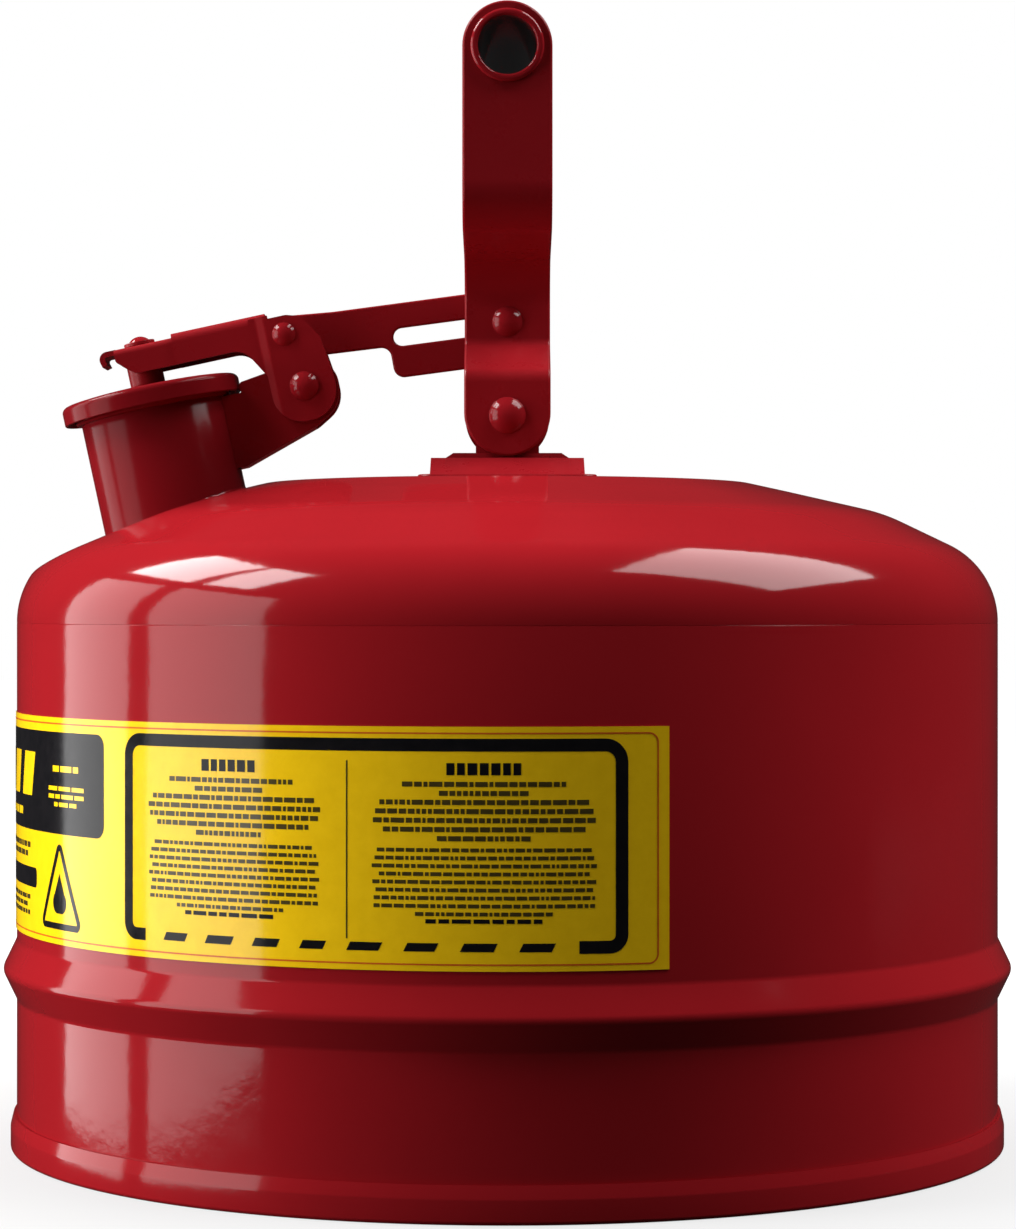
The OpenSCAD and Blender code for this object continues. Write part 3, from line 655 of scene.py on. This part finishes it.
def vent_spring():
    """Compression spring between cup and lever."""
    radius, gauge, turn = 3.6, 0.45, 5 * 360
    cup_floor = CAP_TOP + 1.1 + 0.7
    low, high = cup_floor + gauge, WEB_H - gauge - 0.15
    points = []
    for a in range(0, turn + 1, 10):
        p = Vector((radius * cos(radians(a)), radius * sin(radians(a)), low + (high - low) * a / turn))
        points.append(SPOUT @ (p * MM))
    wire = gauge - 0.01
    piece = coil("vent_coil", points, wire, 12, "vent_spring", BODY["vent_spring"])
    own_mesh(piece)


def lever_spring():
    """Torsion spring with one leg towards the can and the other towards the lever."""
    place = SPOUT @ Matrix.Translation(Vector((PIVOT_X, 0, PIVOT_H)) * MM)
    gauge = 0.6
    ring = PIVOT_R + 1.2 + gauge
    half = BRACKET_Y - BRACKET_T - gauge - 0.3
    low_leg = Vector((-20, -16))
    high_leg = Vector((SPLAY_X - 6 - PIVOT_X, WEB_H - 1 - PIVOT_H))
    first = degrees(atan2(low_leg.y, low_leg.x) + acos(ring / low_leg.length))
    final = degrees(atan2(high_leg.y, high_leg.x) - acos(ring / high_leg.length)) + 4 * 360
    steps = 160
    points = [Vector((low_leg.x, -half, low_leg.y))]
    for i in range(steps + 1):
        a = radians(first + (final - first) * i / steps)
        points.append(Vector((ring * cos(a), -half + 2 * half * i / steps, ring * sin(a))))
    points.append(Vector((high_leg.x, half, high_leg.y)))
    piece = coil("lever_coil", [place @ (p * MM) for p in points], gauge - 0.02, 12, "lever_spring", None)
    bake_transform(piece)


vent_spring()
lever_spring()

# ---- label ----

LABEL_R = BODY_R + TOUCH
FILM = 0.25
LABEL_Z, LABEL_H, LABEL_HALF = 64.9, 62.7, 106.7


def on_wall(phi, z, r):
    """A point at an angle from the front, towards the near side, in degrees."""
    a = radians(phi)
    return Vector((-r * cos(a), -r * sin(a), z)) * MM


def film():
    """The label's vinyl, bent round the wall."""
    n = 216
    verts, faces = [], []
    for i in range(n + 1):
        phi = -LABEL_HALF + 2 * LABEL_HALF * i / n
        for r, z in ((LABEL_R, LABEL_Z), (LABEL_R + FILM, LABEL_Z),
                     (LABEL_R + FILM, LABEL_Z + LABEL_H), (LABEL_R, LABEL_Z + LABEL_H)):
            verts.append(on_wall(phi, z, r))
    for i in range(n):
        for k in range(4):
            h = (k + 1) % 4
            faces.append((i * 4 + k, (i + 1) * 4 + k, (i + 1) * 4 + h, i * 4 + h))
    faces += [(0, 1, 2, 3), (n * 4 + 3, n * 4 + 2, n * 4 + 1, n * 4)]
    return make("label_film", verts, faces, YELLOW, "can", "label_vinyl", ["label"])


film()
PRINT_V, PRINT_F, PRINT_I = [], [], []
# The inks in the order of their numbers
INKS = [INK, TEXT, ORANGE, YELLOW]
BLACK, WRITING, LINE, BRIGHT = range(4)
S = pi / 180 * LABEL_R        # millimetres along the wall for each degree
LIFT_OFF = 0.05               # how far each layer of ink stands off the one below


def patch(loop_low, loop_high, ink, level=1):
    """A strip between two lines of (degrees, height), standing a hair off the film."""
    r = LABEL_R + FILM + LIFT_OFF * level
    base, n = len(PRINT_V), len(loop_low)
    for (a, z), (b, y) in zip(loop_low, loop_high):
        PRINT_V.extend([on_wall(a, z, r), on_wall(b, y, r)])
    for i in range(n - 1):
        PRINT_F.append((base + 2 * i, base + 2 * i + 2, base + 2 * i + 3, base + 2 * i + 1))
        PRINT_I.append(ink)


def block(a0, a1, z0, z1, ink, level=1, radius=0.0, slant=0.0):
    """A bar with rounded ends or slanted sides."""
    n = max(2, ceil(abs(a1 - a0) / 1.2))
    stations = [a0 + (a1 - a0) * i / n for i in range(n + 1)]
    if radius:
        ends = [radius * (1 - cos(pi / 2 * k / 6)) / S for k in range(7)]
        stations = sorted(set([a0 + e for e in ends] + [a1 - e for e in ends]
                              + [s for s in stations if a0 + radius / S < s < a1 - radius / S]))
    low_line, high_line = [], []
    for s in stations:
        d = min((s - a0) * S, (a1 - s) * S)
        cut_z = radius - sqrt(max(radius ** 2 - (radius - d) ** 2, 0)) if radius and d < radius else 0
        low_line.append((s - slant / 2 / S, z0 + cut_z))
        high_line.append((s + slant / 2 / S, z1 - cut_z))
    patch(low_line, high_line, ink, level)


def stroke(path, width, ink, closed=False, level=1):
    """A line of even width along a rounded path of (degrees, height, corner radius)."""
    flat = rounded([(a * S, z, r) for a, z, r in path], closed, 10)
    pts = []
    loop = flat + ([flat[0]] if closed else [])
    for a, b in zip(loop, loop[1:]):
        steps = max(1, ceil((b - a).length / 3))
        pts += [a.lerp(b, i / steps) for i in range(steps)]
    if not closed:
        pts.append(flat[-1])
    n = len(pts)
    left, right = [], []
    for i, p in enumerate(pts):
        a = pts[(i + 1) % n] if closed or i < n - 1 else p
        b = pts[i - 1] if closed or i else p
        t0, t1 = (p - b), (a - p)
        t0 = t0.normalized() if t0.length > 1e-6 else t1.normalized()
        t1 = t1.normalized() if t1.length > 1e-6 else t0
        nrm = (Vector((-t0.y, t0.x)) + Vector((-t1.y, t1.x))) / max(1 + t0.dot(t1), 0.3)
        left.append(((p + nrm * width / 2).x / S, (p + nrm * width / 2).y))
        right.append(((p - nrm * width / 2).x / S, (p - nrm * width / 2).y))
    if closed:
        left.append(left[0])
        right.append(right[0])
    patch(right, left, ink, level)


rng = random.Random(7)


def words(centre, width, z, height, ink, lengths=(2.2, 7.5), gap=0.85, level=1):
    """A row of word-like dashes about a centre, in millimetres of width."""
    parts, total = [], 0.0
    while total < width - 2:
        w = min(rng.uniform(*lengths), width - total)
        parts.append(w)
        total += w + gap
    at = -(total - gap) / 2
    for w in parts:
        block(centre + at / S, centre + (at + w) / S, z, z + height, ink, level)
        at += w + gap


# The frame round the small print: its ends in degrees and its lower and upper lines
FRAME_A, FRAME_B, FRAME_LOW, FRAME_TOP = 45.7, 101.7, 71.0, 122.9
DASHES = ((51.3, 54.3), (57.0, 60.3), (62.9, 65.8), (68.4, 71.0),
          (73.6, 77.0), (79.6, 82.8), (85.4, 88.8), (91.4, 94.7))


def span(m, a, b):
    """The two angles on side m of the label, the lower one first."""
    return sorted((m * a, m * b))


def column(centre, head, wide):
    """A heading bar and two paragraphs of dashes, with one darker line under them."""
    words(centre, head, 115.2, 3.1, BLACK, (1.9, 2.5), 0.7)
    z = 112.2
    for share in (0.72, 0.42, 0.94, 0.98, 0.96, 0.9, 0.4):
        words(centre, wide * share, z, 1.3, WRITING, (0.8, 3.6), 0.45)
        z -= 2.32
    z -= 0.5
    for share in (0.93, 0.98, 0.98, 0.94, 0.99, 0.96, 0.98, 0.97, 0.62):
        words(centre, wide * share, z, 1.0, WRITING, (0.7, 3.0), 0.45)
        z -= 2.05
    words(centre, 0.5 * wide, z + 0.15, 1.1, BLACK, (2, 5), 0.7)


def triangle(m, middle):
    """Plain triangle with a drop in it."""
    low, half = 69.9, 4.9
    stroke([(m * (middle - half), low, 1.2), (m * (middle + half), low, 1.2), (m * middle, 93.0, 1.2)],
           1.8, BLACK, True)
    block(*span(m, middle - 1.7, middle + 1.7), 73.4, 79.4, BLACK, radius=2.9)
    tip = [(m * middle + m * d * 0.1, 78 + 6.5 * (1 - abs(d) / 14)) for d in range(-12, 13, 4)]
    patch([(a, 77.0) for a, _ in tip], tip, BLACK)


def side(m):
    """Everything printed on one side of the label; m is 1 for the near side, -1 for the far."""
    stroke([(m * (FRAME_A + 2.7), FRAME_LOW, 0), (m * FRAME_A, FRAME_LOW, 3.2),
            (m * FRAME_A, FRAME_TOP, 4.4), (m * FRAME_B, FRAME_TOP, 4.4),
            (m * FRAME_B, FRAME_LOW, 3.2), (m * (FRAME_B - 4.4), FRAME_LOW, 0)], 3.3, BLACK)
    for a, b in DASHES:
        block(*span(m, a, b), FRAME_LOW - 1.1, FRAME_LOW + 1.1, BLACK, slant=1.1)
    stroke([(m * 73.43, 72.9, 0), (m * 73.43, 118.8, 0)], 0.4, WRITING)
    column(m * 59.7, 18.5, 56)
    column(m * 87.6, 21.0, 60)
    triangle(m, 31.6)
    for k, z in enumerate((90.2, 87.6, 75.6, 73.4, 71.2)):
        words(m * 14.0, 40 - 6 * (k % 2), z, 1.3 if k > 1 else 1.6, WRITING)
    block(*span(m, 3.0, 24.5), 79.2, 84.8, BLACK, radius=1.4)
    # Small lines at the end of the black panel
    words(m * 33.0, 16, 112.6, 1.7, BRIGHT, level=2)
    for z, wide in ((107.4, 22), (105.2, 22), (103.0, 15)):
        words(m * 33.0, wide, z, 1.2, BRIGHT, level=2)


def label_print():
    """All the ink as one piece: the black panel in front, the border line and both sides."""
    block(-41.3, 41.3, 95.4, 123.6, BLACK, radius=3.4)
    for k in range(-3, 4):
        block(7 * k - 2.3, 7 * k + 2.3, 105.0, 117.4, BRIGHT, level=2, slant=3.5)
    words(0, 92, 99.2, 2.2, BRIGHT, (4, 10), 1.4, level=2)
    edge, low, top = LABEL_HALF - 1.2, LABEL_Z + 1.7, LABEL_Z + LABEL_H - 1.7
    stroke([(-edge, low, 2.5), (edge, low, 2.5), (edge, top, 2.5), (-edge, top, 2.5)], 0.45, LINE, True)
    side(1)
    side(-1)
    piece = make("label_print", PRINT_V, PRINT_F, INKS, "can", "label_vinyl", indices=PRINT_I, sharp=180)
    bm = bmesh.new()
    bm.from_mesh(piece.data)
    for face in bm.faces:
        c = face.calc_center_median()
        if face.normal.dot(Vector((c.x, c.y, 0))) < 0:
            face.normal_flip()
    bm.to_mesh(piece.data)
    bm.free()


label_print()

# ---- floor ----


def studio_floor():
    """Glows pale everywhere, with a painted shade near the can where its glow is dimmed, so the can's soft
    shadow shows there.
    """
    reach = 6.0
    mesh = bpy.data.meshes.new("floor")
    mesh.from_pydata([(-reach, -reach, 0), (reach, -reach, 0), (reach, reach, 0), (-reach, reach, 0)],
                     [], [(0, 1, 2, 3)])
    floor = bpy.data.objects.new("floor", mesh)
    bpy.context.scene.collection.objects.link(floor)
    material = bpy.data.materials.new("floor")
    material.use_nodes = True
    tree = material.node_tree
    shader = tree.nodes["Principled BSDF"]
    shader.inputs["Base Color"].default_value = (0.12, 0.12, 0.12, 1)
    shader.inputs["Roughness"].default_value = 0.9
    shader.inputs["Specular IOR Level"].default_value = 0.0
    shader.inputs["Emission Color"].default_value = (1, 1, 1, 1)
    coords = tree.nodes.new("ShaderNodeTexCoord")
    distance = tree.nodes.new("ShaderNodeVectorMath")
    distance.operation = "LENGTH"
    # Painted shade: the floor's glow is turned down close to the can.
    glow_dimmed_near_can = tree.nodes.new("ShaderNodeMapRange")
    for key, value in (("From Min", 0.12), ("From Max", 0.5), ("To Min", 0.68), ("To Max", 1.0)):
        glow_dimmed_near_can.inputs[key].default_value = value
    tree.links.new(coords.outputs["Object"], distance.inputs[0])
    tree.links.new(distance.outputs["Value"], glow_dimmed_near_can.inputs["Value"])
    tree.links.new(glow_dimmed_near_can.outputs["Result"], shader.inputs["Emission Strength"])
    mesh.materials.append(material)
    floor.visible_glossy = False
    floor.visible_diffuse = False


studio_floor()
